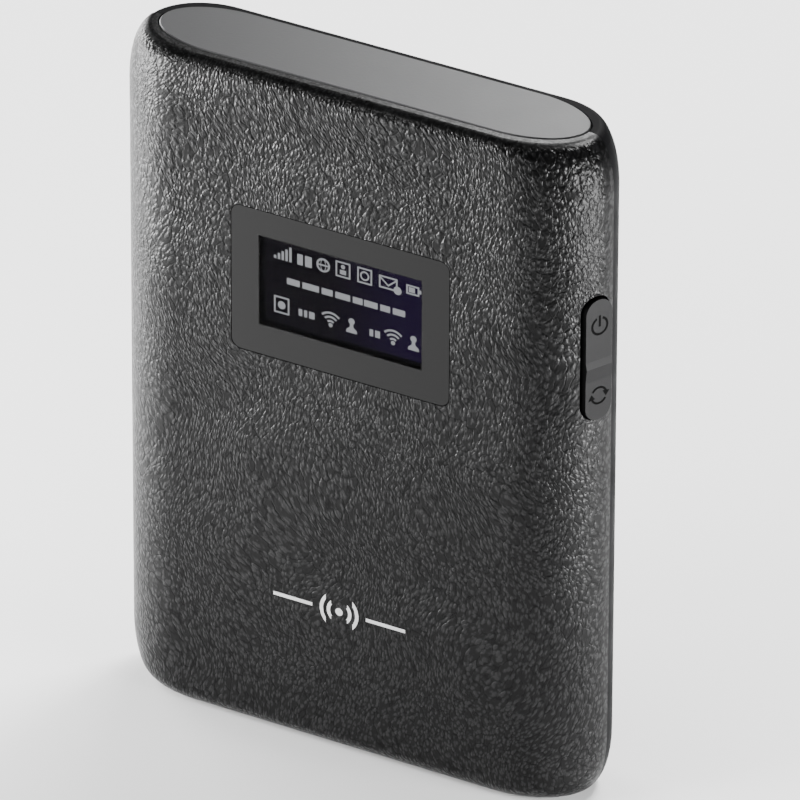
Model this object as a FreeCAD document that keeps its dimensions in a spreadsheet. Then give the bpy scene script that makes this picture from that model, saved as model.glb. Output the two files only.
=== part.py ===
import FreeCAD, Part
import Sketcher
import math
import os
import re
from FreeCAD import Placement, Rotation, Vector

# A pocket mobile hotspot, standing upright on its bottom edge.
# Frame, in millimetres: +X to the right seen from the front, +Y to the back, +Z up.
# The origin is on the flat bottom face, midway across the width and the thickness.
# The case is a deep front shell and a shallower back cover that meet on the plane Y = seam_y.

DIMENSIONS = {
    # case envelope
    "body_width": 76.8, "body_height": 105.0, "front_depth": 9.2, "back_depth": 7.7,
    "seam_y": 0.8, "seam_gap": 0.12, "seam_step": 0.1, "wall": 1.5, "front_end": 11.2,
    "back_end": 9.3, "top_corner_x": 3.3, "top_corner_z": 8.6, "base_corner_x": 3.7,
    "base_corner_z": 9.5, "front_top_roll": 1.7, "front_base_roll": 2.9, "back_top_roll": 0.6,
    "back_base_roll": 2.0,
    # cutting tools: how far they run past the faces they open
    "margin": 2.0, "half_space": 20.0, "tool_reach": 4.0, "opening_inner": 4.0,
    "opening_outer": 3.0,
    # ribs, latches and finger notch of the back cover
    "cover_rib_width": 0.8, "cover_rib_height": 0.9, "cover_rib_length": 20.0,
    "cover_rib_low": 76.0, "latch_thickness": 0.35, "latch_width": 0.8, "latch_length": 7.0,
    "latch_y": 1.9, "latch_low": 26.0, "latch_high": 86.0, "latch_sink": 0.1, "pry_radius": 5.0,
    "pry_depth": 1.0, "pry_sink": 4.2, "pry_lead": 0.2,
    # trim cap let into the top
    "cap_half_length": 34.1, "cap_half_width": 6.3, "cap_end": 10.8, "cap_gap": 0.2,
    "cap_thickness": 1.3, "cap_proud": 0.1, "cap_chamfer": 0.15, "cap_foot_inset": 1.2,
    "cap_opening_depth": 3.0, "hook_width": 4.0, "hook_depth": 1.0, "hook_drop": 2.4,
    "hook_x": 22.0, "hook_gap": 0.2,
    # display window and display
    "window_width": 35.2, "window_height": 22.8, "window_z": 72.5, "window_radius": 1.5,
    "window_gap": 0.12, "window_thickness": 0.8, "window_sink": 0.03, "gasket_thickness": 0.15,
    "gasket_inset": 0.2, "seat_width": 29.0, "seat_height": 17.0, "seat_depth": 6.0,
    "panel_width": 31.0, "panel_height": 19.0, "panel_thickness": 1.2, "panel_front": -6.8,
    "lit_width": 25.6, "lit_height": 13.6, "lit_z": 72.9, "polariser_thickness": 0.18,
    "panel_radius": 0.5, "panel_fit": 0.1, "panel_lip": 0.3, "polariser_border": 0.5,
    "holder_border": 1.2, "holder_back": -3.6, "holder_step": 1.5, "flex_width": 11.0,
    "flex_thickness": 0.2, "flex_drop": 7.0, "flex_turn": 1.2, "flex_foot": 1.6,
    "flex_slot_height": 4.0, "flex_slot_low": 2.5, "connector_height": 2.4,
    # front emblem
    "emblem_z": 23.0, "emblem_proud": 0.12, "emblem_dot": 0.6, "emblem_stroke": 0.55,
    "emblem_ring": 1.75, "emblem_ring_step": 1.15, "emblem_bar_start": 4.4,
    "emblem_bar_length": 6.4, "emblem_waist": 0.75, "emblem_opening": 0.55,
    "emblem_opening_step": 0.5,
    # circuit board
    "board_half_width": 31.2, "board_low": 31.0, "board_high": 99.0, "board_front": -3.6,
    "board_thickness": 1.0, "notch_fit": 0.2, "board_ear": 2.2, "board_ear_low": 41.0,
    "board_ear_mid": 60.0, "board_ear_high": 82.0,
    # side key and its two switches
    "side_tilt": 24.5, "side_x": 37.69, "side_y": -2.42, "key_z": 71.9, "key_length": 19.0,
    "key_width": 4.4, "key_proud": 0.6, "key_gap": 0.3, "key_inner": 2.3,
    "key_flange_length": 21.0, "key_flange_width": 4.2, "key_flange_thickness": 0.6,
    "key_ridge": 0.25, "key_ridge_peak": 1.0, "key_ridge_fall": 3.4, "key_ridge_sink": 0.02,
    "key_ridge_start": 0.1, "nib_length": 1.5, "nib_width": 1.3, "nib_height": 1.4,
    "pivot_x": 34.3, "pivot_length": 0.9, "pivot_width": 1.0, "pivot_height": 0.8,
    "switch_spacing": 5.5, "switch_x": 33.0, "switch_y": -2.0, "switch_size": 3.6,
    "switch_height": 1.6, "plunger_reach": 0.95, "plunger_width": 1.6, "plunger_height": 0.9,
    "plunger_play": 0.06, "plunger_fit": 0.05, "plunger_root": 0.8, "plunger_hole": 1.2,
    # charging port and its cover
    "port_z": 50.3, "port_length": 14.0, "port_width": 4.4, "port_gap": 0.15,
    "port_cover_thickness": 1.3, "plug_length": 7.0, "plug_width": 1.8, "plug_depth": 0.9,
    "usb_mouth_x": 35.2, "usb_depth": 5.4, "usb_width": 7.8, "usb_height": 2.7, "usb_wall": 0.3,
    "usb_y": -2.4, "usb_bevel": 0.9, "usb_jamb": 0.4, "usb_end_wall": 0.5, "usb_lead": 0.1,
    "tongue_back": 1.6, "tongue_thickness": 0.6, "tongue_inset": 1.7,
    # rear chassis
    "chassis_front": -1.0, "chassis_floor": 1.0, "chassis_inset": 2.0, "chassis_rim": 1.2,
    "chassis_rim_back": 2.0, "chassis_step": 1.0, "shelf_half_width": 32.0, "shelf_front": -4.6,
    "shelf_back": 6.0, "shelf_low": 102.0, "shelf_thickness": 1.3, "bay_clear": 0.3,
    "bay_wall": 1.2, "bay_back": 5.6, "thumb_radius": 7.0, "key_space_x": 34.6,
    "key_space_width": 6.0, "key_space_depth": 3.4, "key_space_end": 1.5, "port_space_x": -38.6,
    "port_space_width": 4.0, "port_space_depth": 2.4, "key_stop_x": 33.0, "key_stop_width": 1.2,
    "key_stop_depth": 1.6, "key_stop_height": 3.0,
    # battery
    "battery_half_width": 30.0, "battery_low": 8.0, "battery_height": 58.0, "battery_front": 0.1,
    "battery_thickness": 6.2, "battery_radius": 1.4, "battery_cap_height": 3.6, "pad_width": 3.0,
    "pad_pitch": 4.6, "pad_depth": 0.25, "pad_y": 1.4, "pad_height": 2.4, "pad_thickness": 0.15,
    "label_thickness": 0.12, "label_margin": 4.0, "contact_fit": 0.2, "contact_length": 15.0,
    "contact_height": 4.4, "contact_depth": 3.6, "contact_width": 1.0,
    "contact_block_height": 3.8, "contact_lift": 0.9, "slot_y": 1.8, "slot_depth": 1.6,
    "slot_height": 2.6, "slot_lift": 0.5, "blade_fit": 0.1, "blade_depth": 1.3,
    "blade_height": 2.9, "blade_lift": 0.02,
    # SIM card, reset button, screws
    "sim_x": -22.5, "sim_z": 76.0, "sim_length": 15.0, "sim_width": 12.0, "sim_thickness": 0.76,
    "sim_corner": 2.4, "sim_lead": 1.2, "sim_fit": 0.05, "sim_border": 0.8, "sim_lid": 0.35,
    "sim_thumb_radius": 4.0, "sim_thumb_x": 3.0, "sim_tray_short": 2.0, "sim_lid_short": 3.0,
    "sim_y": -1.3, "sim_travel": 9.0, "reset_x": 18.0, "reset_z": 86.0, "reset_radius": 1.1,
    "reset_fit": 0.05, "reset_flange_radius": 1.7, "reset_flange_thickness": 0.3,
    "reset_stem_length": 1.35, "reset_case_size": 3.6, "reset_case_height": 0.7,
    "reset_dome_radius": 1.0, "reset_dome_height": 0.2, "boss_x": 33.4, "boss_radius": 1.8,
    "boss_root": 0.6, "bore_clear": 0.4, "screw_radius": 0.8, "screw_fit": 0.05,
    "screw_head_radius": 1.4, "screw_head_height": 0.7, "screw_length": 4.6, "cross_length": 1.7,
    "cross_width": 0.4, "cross_depth": 0.5, "screw_edge": 0.7, "boss_low_z": 14.0,
    "boss_mid_z": 36.0, "boss_high_z": 90.0,
    # shields, chips and antennas
    "shield_wall": 0.2, "front_shield_height": 1.8, "rear_shield_height": 1.3, "chip_height": 1.0,
    "antenna_thickness": 0.15, "carrier_wall": 1.2, "lower_length": 56.0, "lower_depth": 4.6,
    "lower_height": 6.5, "lower_front": -5.9, "lower_base": 7.5, "lower_floor": 1.1,
    "lower_strip_length": 50.0, "lower_strip_width": 3.4, "lower_strip_y": 0.5,
    "lower_leg_length": 2.4, "lower_leg_x": 27.6, "upper_length": 50.0, "upper_depth": 4.4,
    "upper_height": 5.0, "upper_front": 0.1, "upper_base": 95.0, "upper_floor": 1.0,
    "upper_web": 1.5, "upper_strip_length": 20.0, "upper_strip_width": 3.6, "upper_strip_x": 4.0,
    "upper_strip_y": 0.3, "spring_x": 29.0, "spring_width": 1.4, "spring_depth": 2.1,
    "spring_height": 2.4, "spring_end": 0.4,
}

# Sections taken through each curved zone of the case, and how far its curves are kept open.
ZONE_SECTIONS = 4
SMALLEST_ROLL = 0.2

doc = FreeCAD.newDocument("mobile_hotspot")
sheet = doc.addObject("Spreadsheet::Sheet", "Dims")
for row, (alias, value) in enumerate(DIMENSIONS.items(), 1):
    sheet.set("A%d" % row, "'" + alias)
    sheet.set("B%d" % row, str(value))
    sheet.setAlias("B%d" % row, alias)
doc.recompute()

sub_parts = []


def dim(alias):
    """A driving dimension, as the sheet holds it."""
    return float(sheet.get(alias))


def bound(text):
    """An expression in which every driving dimension is a reference to the sheet."""
    return re.sub(r"[a-z_]+", lambda word: "Dims." + word.group(0)
                  if word.group(0) in DIMENSIONS else word.group(0), str(text))


def place(item, base, rotation=None):
    """Bind an object's position to the sheet, after any fixed rotation."""
    if rotation:
        item.Placement = Placement(Vector(), rotation)
    for axis, text in zip("xyz", base):
        item.setExpression("Placement.Base." + axis, bound(text))
    return item


def keep(item, label):
    """Count an object as a sub-part and name it."""
    item.Label = label
    sub_parts.append(item)
    return item


# ---------------------------------------------------------------- building blocks

def block(name, size, corner):
    """An axis-aligned block from its lowest corner."""
    item = doc.addObject("Part::Box", name)
    for side, text in zip(("Length", "Width", "Height"), size):
        item.setExpression(side, bound(text))
    return place(item, corner)


TURNS = {"x": Rotation(Vector(0, 1, 0), 90), "y": Rotation(Vector(1, 0, 0), -90), "z": None}


def rod(name, radius, length, base, along="z"):
    """A cylinder that starts at base and runs along +X, +Y or +Z."""
    item = doc.addObject("Part::Cylinder", name)
    item.setExpression("Radius", bound(radius))
    item.setExpression("Height", bound(length))
    return place(item, base, TURNS[along])


def fuse(name, pieces):
    item = doc.addObject("Part::MultiFuse", name)
    item.Shapes = pieces
    item.Refine = True
    return item


def cut(name, base, tools):
    """Base with every tool taken out of it."""
    item = doc.addObject("Part::Cut", name)
    item.Base = base
    item.Tool = tools[0] if len(tools) == 1 else fuse(name + "_tools", tools)
    item.Refine = True
    return item


def group(name, pieces):
    """Separate solids that share one node."""
    item = doc.addObject("Part::Compound", name)
    item.Links = pieces
    return item


def oval(name, grow, low, thickness):
    """The cap's outline, grown all round: a straight middle with elliptical ends."""
    ends = []
    for side, sign in (("left", -1), ("right", 1)):
        curve = doc.addObject("Part::Ellipse", "%s_%s_curve" % (name, side))
        curve.setExpression("MajorRadius", bound("cap_end + (%s)" % grow))
        curve.setExpression("MinorRadius", bound("cap_half_width + (%s)" % grow))
        place(curve, ("%d * (cap_half_length - cap_end)" % sign, "seam_y", low))
        end = doc.addObject("Part::Extrusion", "%s_%s_end" % (name, side))
        end.Base = curve
        end.DirMode = "Custom"
        end.Dir = Vector(0, 0, 1)
        end.setExpression("LengthFwd", bound(thickness))
        end.Solid = True
        ends.append(end)
    middle = block(name + "_middle",
                   ("2 * (cap_half_length - cap_end)", "2 * (cap_half_width + (%s))" % grow,
                    thickness),
                   ("cap_end - cap_half_length", "seam_y - cap_half_width - (%s)" % grow, low))
    return fuse(name, ends + [middle])


def stadium(name, length, width, inner, outer):
    """An upright round-ended prism along local +X, from depth inner to height outer."""
    reach = "(%s) + (%s)" % (inner, outer)
    flat = "((%s) - (%s)) / 2" % (length, width)
    middle = block(name + "_middle", (reach, width, "(%s) - (%s)" % (length, width)),
                   ("-(%s)" % inner, "-(%s) / 2" % width, "-" + flat))
    ends = [rod("%s_end_%d" % (name, i), "(%s) / 2" % width, reach,
                ("-(%s)" % inner, "0", sign + flat), "x") for i, sign in enumerate(("-", ""))]
    return fuse(name, [middle] + ends)


def on_side(item, hand, level):
    """Stand a local piece on the curved side wall: hand 1 on the right, -1 on the left."""
    angle = -dim("side_tilt") if hand > 0 else 180 + dim("side_tilt")
    return place(item, ("%d * side_x" % hand, "side_y", level),
                 Rotation(Vector(0, 0, 1), angle))


def sketch_on(body, role, offset):
    """A sketch on one of the body's origin planes, moved along the plane's normal."""
    sketch = body.newObject("Sketcher::SketchObject", body.Name + "_sketch")
    plane = [item for item in body.Origin.OriginFeatures if item.Role == role][0]
    sketch.AttachmentSupport = [(plane, "")]
    sketch.MapMode = "FlatFace"
    sketch.setExpression("AttachmentOffset.Base.z", bound(offset))
    return sketch


def outline(sketch, corners):
    """A closed outline whose corners are placed by pairs of bound distances."""
    points = [Vector(u, v, 0) for u, v in
              (tuple(float(sketch.evalExpression(bound(text))) for text in pair)
               for pair in corners)]
    count = len(points)
    for i in range(count):
        sketch.addGeometry(Part.LineSegment(points[i], points[(i + 1) % count]), False)
    for i in range(count):
        sketch.addConstraint(Sketcher.Constraint("Coincident", i, 2, (i + 1) % count, 1))
    for i, pair in enumerate(corners):
        for kind, point, text in zip(("DistanceX", "DistanceY"), points[i], pair):
            index = sketch.addConstraint(Sketcher.Constraint(kind, -1, 1, i, 1, point))
            sketch.setExpression("Constraints[%d]" % index, bound(text))


def padded(name, role, offset, corners, length, reverse=False):
    """A PartDesign body with one padded outline."""
    body = doc.addObject("PartDesign::Body", name)
    sketch = sketch_on(body, role, offset)
    outline(sketch, corners)
    pad = body.newObject("PartDesign::Pad", name + "_pad")
    pad.Profile = sketch
    pad.setExpression("Length", bound(length))
    pad.Reversed = reverse
    doc.recompute()
    return body, pad


def edges_along(feature, direction):
    """The names of a feature's straight edges that run along a direction."""
    names = []
    for index, edge in enumerate(feature.Shape.Edges, 1):
        if isinstance(edge.Curve, Part.Line) and abs(edge.Curve.Direction.dot(direction)) > 0.999:
            names.append("Edge%d" % index)
    return names


def rounded(body, feature, direction, radius):
    """Round a padded body's edges that run along a direction."""
    fillet = body.newObject("PartDesign::Fillet", body.Name + "_fillet")
    fillet.Base = (feature, edges_along(feature, direction))
    fillet.setExpression("Radius", bound(radius))
    return body


def slab(name, half_width, low, high, back, thickness):
    """Corners and pad of an upright plate, seen from the front, whose back face is at Y = back."""
    corners = [("-(%s)" % half_width, low), (half_width, low), (half_width, high),
               ("-(%s)" % half_width, high)]
    return padded(name, "XZ_Plane", "-(%s)" % back, corners, thickness)


# ---------------------------------------------------------------- case envelope

def corner_inset(radius, height, drop):
    """How far a quarter-ellipse corner has drawn in, at a drop from its end."""
    if drop >= height or radius <= 0:
        return 0.0
    return radius * (1 - math.sqrt(1 - (1 - drop / height) ** 2))


def quarter(centre, from_point, to_point):
    """A quarter ellipse about centre, between the ends of its two half axes."""
    ends = (centre + from_point, centre + to_point)
    if from_point.Length < to_point.Length:
        ends = (ends[1], ends[0])
    return Part.ArcOfEllipse(Part.Ellipse(ends[0], ends[1], centre), 0, math.pi / 2).toShape()


def case_section(inset, from_top, from_base, level):
    """The case's closed outline at a level, drawn in by inset."""
    radii = {name: max(dim(name) - inset, SMALLEST_ROLL) for name in
             ("top_corner_x", "top_corner_z", "base_corner_x", "base_corner_z",
              "front_top_roll", "front_base_roll", "back_top_roll", "back_base_roll")}
    half = (dim("body_width") / 2 - inset
            - corner_inset(radii["top_corner_x"], radii["top_corner_z"], from_top)
            - corner_inset(radii["base_corner_x"], radii["base_corner_z"], from_base))
    edges = []
    for side, sign in (("front", -1), ("back", 1)):
        top_roll = radii[side + "_top_roll"]
        base_roll = radii[side + "_base_roll"]
        depth = (dim(side + "_depth") - inset - corner_inset(top_roll, top_roll, from_top)
                 - corner_inset(base_roll, base_roll, from_base))
        end = dim(side + "_end") - inset
        middle = half - end
        far = dim("seam_y") + sign * depth
        edges.append(Part.makeLine(Vector(-middle, far, level), Vector(middle, far, level)))
        for hand in (-1, 1):
            edges.append(quarter(Vector(hand * middle, dim("seam_y"), level),
                                 Vector(hand * end, 0, 0), Vector(0, sign * depth, 0)))
    return Part.Wire(Part.__sortEdges__(edges))


def zone_drops(stops, corner):
    """Drops between two stops, evenly spread round a corner of the given height."""
    first, last = (math.acos(1 - stop / corner) for stop in stops)
    angles = [first + (last - first) * i / ZONE_SECTIONS for i in range(ZONE_SECTIONS + 1)]
    return [corner * (1 - math.cos(angle)) for angle in angles]


def case_solid(inset, low):
    """The whole case as one solid, drawn in by inset, with its bottom at a level."""
    high = dim("body_height") - inset
    solids = []
    joins = []
    for end, limit, step in (("base", low, 1), ("top", high, -1)):
        corner = max(dim(end + "_corner_z") - inset, SMALLEST_ROLL)
        stops = sorted({0.0, corner} | {max(dim("%s_%s_roll" % (side, end)) - inset,
                                            SMALLEST_ROLL) for side in ("front", "back")})
        for zone in zip(stops, stops[1:]):
            wires = []
            for drop in zone_drops(zone, corner):
                level = limit + step * drop
                wires.append(case_section(inset, drop if end == "top" else high - level,
                                          drop if end == "base" else level - low, level))
            solids.append(Part.makeLoft(wires, True, False, False, 3))
        joins.append(limit + step * corner)
    middle = case_section(inset, high - joins[0], corner + 1, joins[0])
    solids.append(Part.Face(middle).extrude(Vector(0, 0, joins[1] - joins[0])))
    return solids[0].fuse(solids[1:]).removeSplitter().Solids[0]


def shape_feature(name, shape):
    item = doc.addObject("Part::Feature", name)
    item.Shape = shape
    item.Placement = Placement()
    return item


front_outer = shape_feature("front_outer", case_solid(0.0, 0.0))
back_outer = shape_feature("back_outer", case_solid(dim("seam_step"), 0.0))
cavity = shape_feature("case_cavity", case_solid(dim("wall"), dim("wall")))

cap_opening = oval("cap_opening", "cap_gap", "body_height - cap_opening_depth",
                   "2 * cap_opening_depth")
key_opening = on_side(stadium("key_opening", "key_length + 2 * key_gap",
                              "key_width + 2 * key_gap", "opening_inner", "opening_outer"),
                      1, "key_z")
port_opening = on_side(stadium("port_opening", "port_length + 2 * port_gap",
                               "port_width + 2 * port_gap", "opening_inner",
                               "opening_outer"), -1, "port_z")

FRONT_FACE = "(seam_y - front_depth)"
BOSS_PLACES = [(hand, level) for level in ("boss_low_z", "boss_mid_z", "boss_high_z")
               for hand in (-1, 1)]


# ---------------------------------------------------------------- front shell

def rounded_plate(name, width, height, radius, back, thickness, centre_z="window_z"):
    """A plate with rounded corners, seen from the front, centred across the case."""
    low = "(%s) - (%s) / 2" % (centre_z, height)
    high = "(%s) + (%s) / 2" % (centre_z, height)
    body, pad = slab(name, "(%s) / 2" % width, low, high, back, thickness)
    return rounded(body, pad, Vector(0, 1, 0), radius)


def make_front_shell():
    recess = rounded_plate("window_recess", "window_width + 2 * window_gap",
                           "window_height + 2 * window_gap", "window_radius + window_gap",
                           FRONT_FACE + " + window_sink + window_thickness + gasket_thickness",
                           "tool_reach")
    seat = block("window_seat", ("seat_width", "seat_depth", "seat_height"),
                 ("-seat_width / 2", FRONT_FACE + " - margin", "lit_z - seat_height / 2"))
    bosses = [rod("boss_%d" % i, "boss_radius", "chassis_front - " + FRONT_FACE + " - boss_root",
                  ("%d * boss_x" % hand, FRONT_FACE + " + boss_root", level), "y")
              for i, (hand, level) in enumerate(BOSS_PLACES)]
    bores = [rod("boss_bore_%d" % i, "screw_radius + screw_fit", "screw_length + bore_clear",
                 ("%d * boss_x" % hand, "chassis_front - screw_length - bore_clear", level),
                 "y")
             for i, (hand, level) in enumerate(BOSS_PLACES)]
    behind = block("behind_seam",
                   ("body_width + 2 * margin", "half_space", "body_height + 2 * margin"),
                   ("-body_width / 2 - margin", "seam_y", "-margin"))
    hollow = cut("front_hollow", cut("front_ring", front_outer, [cavity]), [behind])
    inside = doc.addObject("Part::MultiCommon", "bosses_inside")
    inside.Shapes = [fuse("bosses", bosses), front_outer]
    joined = fuse("front_with_bosses", [hollow, inside])
    return keep(cut("front_shell_solid", joined,
                    [cap_opening, key_opening, port_opening, recess, seat] + bores),
                "front_shell")


front_shell = make_front_shell()


# ---------------------------------------------------------------- back cover

def make_back_cover():
    before = block("before_seam",
                   ("body_width + 2 * margin", "half_space + seam_gap",
                    "body_height + 2 * margin"),
                   ("-body_width / 2 - margin", "seam_y - half_space", "-margin"))
    hollow = cut("back_hollow", cut("back_ring", back_outer, [cavity]), [before, cap_opening])
    pry = rod("pry_notch", "pry_radius", "pry_depth", ("0", "seam_y - pry_lead", "-pry_sink"),
              "y")
    ribs = [block("cover_rib_%d" % i,
                  ("cover_rib_width", "cover_rib_height", "cover_rib_length"),
                  ("%f * body_width" % share,
                   "seam_y + back_depth - wall + latch_sink - cover_rib_height",
                   "cover_rib_low"))
            for i, share in enumerate((-0.30, -0.15, 0.0, 0.15, 0.30))]
    latches = [block("cover_latch_%s_%d" % (hand, i),
                     ("latch_thickness", "latch_width", "latch_length"),
                     ("%d * (body_width / 2 - wall) - %s" % (sign, back),
                      "seam_y + latch_y", level))
               for hand, sign, back in (("left", -1, "latch_sink"),
                                        ("right", 1, "(latch_thickness - latch_sink)"))
               for i, level in enumerate(("latch_low", "latch_high"))]
    return keep(fuse("back_cover_solid", [cut("back_opened", hollow, [pry])] + ribs + latches),
                "back_cover")


back_cover = make_back_cover()


# ---------------------------------------------------------------- top cap

def make_top_cap():
    top_plate = oval("cap_plate", "0", "body_height + cap_proud - cap_thickness",
                     "cap_thickness")
    doc.recompute()
    crown = dim("body_height") + dim("cap_proud")
    rim = [index for index, edge in enumerate(top_plate.Shape.Edges, 1)
           if all(abs(vertex.Z - crown) < 0.001 for vertex in edge.Vertexes)]
    plate = doc.addObject("Part::Chamfer", "cap_edge")
    plate.Base = top_plate
    plate.Edges = [(index, dim("cap_chamfer"), dim("cap_chamfer")) for index in rim]
    foot = oval("cap_foot", "-cap_foot_inset", "shelf_low + shelf_thickness",
                "body_height + cap_proud - cap_thickness - shelf_low - shelf_thickness")
    hooks = [block("cap_hook_%d" % i, ("hook_width", "hook_depth", "hook_drop + 0.3"),
                   ("%d * hook_x - hook_width / 2" % side, "seam_y - hook_depth / 2",
                    "shelf_low + shelf_thickness - hook_drop"))
             for i, side in enumerate((-1, 0, 1))]
    return keep(fuse("top_cap_solid", [plate, foot] + hooks), "top_cap")


top_cap = make_top_cap()


# ---------------------------------------------------------------- rear chassis

def case_outline(inset, front, back, name):
    """The case seen from the front, drawn in by inset, from Y = front to Y = back."""
    half = dim("body_width") / 2 - inset
    low = inset
    high = dim("body_height") - inset
    top = (dim("top_corner_x") - inset / 2, dim("top_corner_z") - inset / 2)
    base = (dim("base_corner_x") - inset / 2, dim("base_corner_z") - inset / 2)
    edges = []
    for sign in (-1, 1):
        edges.append(quarter(Vector(sign * (half - top[0]), front, high - top[1]),
                             Vector(0, 0, top[1]), Vector(sign * top[0], 0, 0)))
        edges.append(quarter(Vector(sign * (half - base[0]), front, low + base[1]),
                             Vector(0, 0, -base[1]), Vector(sign * base[0], 0, 0)))
        edges.append(Part.makeLine(Vector(sign * half, front, low + base[1]),
                                   Vector(sign * half, front, high - top[1])))
    edges.append(Part.makeLine(Vector(top[0] - half, front, high),
                               Vector(half - top[0], front, high)))
    edges.append(Part.makeLine(Vector(base[0] - half, front, low),
                               Vector(half - base[0], front, low)))
    face = Part.Face(Part.Wire(Part.__sortEdges__(edges)))
    return shape_feature(name, face.extrude(Vector(0, back - front, 0)))


def make_chassis():
    front = dim("chassis_front")
    floor_back = front + dim("chassis_floor")
    rim_back = dim("chassis_rim_back")
    outer = case_outline(dim("chassis_inset"), front, rim_back, "chassis_outer")
    hollow = case_outline(dim("chassis_inset") + dim("chassis_rim"), floor_back,
                          rim_back + dim("margin"), "chassis_hollow")
    tray = cut("chassis_tray", outer, [hollow])
    shelf = block("cap_shelf", ("2 * shelf_half_width", "shelf_back - shelf_front",
                                "shelf_thickness"),
                  ("-shelf_half_width", "shelf_front", "shelf_low"))
    bay_outer = block("bay_outer", ("2 * (battery_half_width + bay_clear + bay_wall)",
                                    "bay_back - chassis_front",
                                    "battery_height + 2 * (bay_clear + bay_wall)"),
                      ("-battery_half_width - bay_clear - bay_wall", "chassis_front",
                       "battery_low - bay_clear - bay_wall"))
    bay = block("bay_space", ("2 * (battery_half_width + bay_clear)", "bay_back + margin",
                              "battery_height + 2 * bay_clear"),
                ("-battery_half_width - bay_clear", "chassis_front + chassis_floor",
                 "battery_low - bay_clear"))
    ahead = "chassis_front - chassis_step"
    key_space = block("key_space", ("key_space_width", "key_space_depth",
                                    "key_flange_length + 2 * key_space_end"),
                      ("key_space_x", ahead, "key_z - key_flange_length / 2 - key_space_end"))
    port_space = block("port_space", ("port_space_width", "port_space_depth", "port_length"),
                       ("port_space_x", ahead, "port_z - port_length / 2"))
    contact_space = block("contact_space", ("contact_length + 2 * contact_fit",
                                            "bay_back + margin",
                                            "contact_height + chassis_step"),
                          ("-contact_length / 2 - contact_fit",
                           "chassis_front + chassis_floor", "battery_low + battery_height"))
    thumb = rod("thumb_notch", "thumb_radius", "tool_reach",
                ("0", "chassis_front + chassis_floor + margin",
                 "battery_low - bay_clear - bay_wall"), "y")
    sim_window = block("sim_window", ("sim_length + sim_travel + 2 * margin", "tool_reach",
                                      "sim_width + 2 * margin"),
                       ("sim_x - sim_lead", ahead, "sim_z - margin"))
    reset_hole = rod("reset_hole", "reset_radius + reset_fit", "tool_reach",
                     ("reset_x", ahead, "reset_z"), "y")
    screw_holes = [rod("chassis_hole_%d" % i, "screw_radius + screw_fit", "tool_reach",
                       ("%d * boss_x" % hand, ahead, level), "y")
                   for i, (hand, level) in enumerate(BOSS_PLACES)]
    hook_slots = [block("hook_slot_%d" % i,
                        ("hook_width + 2 * hook_gap", "hook_depth + 2 * hook_gap",
                         "tool_reach"),
                        ("%d * hook_x - hook_width / 2 - hook_gap" % side,
                         "seam_y - hook_depth / 2 - hook_gap", "shelf_low - chassis_step"))
                  for i, side in enumerate((-1, 0, 1))]
    key_stop = block("key_stop", ("key_stop_width", "key_stop_depth", "key_stop_height"),
                     ("key_stop_x", "chassis_front - key_stop_depth",
                      "key_z - key_stop_height / 2"))
    walls = cut("bay_walls", bay_outer, [bay])
    joined = fuse("chassis_joined", [tray, shelf, walls])
    opened = cut("chassis_opened", joined,
                 [key_space, port_space, contact_space, thumb, sim_window, reset_hole]
                 + screw_holes + hook_slots)
    return keep(fuse("rear_chassis_solid", [opened, key_stop]), "rear_chassis")


rear_chassis = make_chassis()


# ---------------------------------------------------------------- window and display

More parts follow.
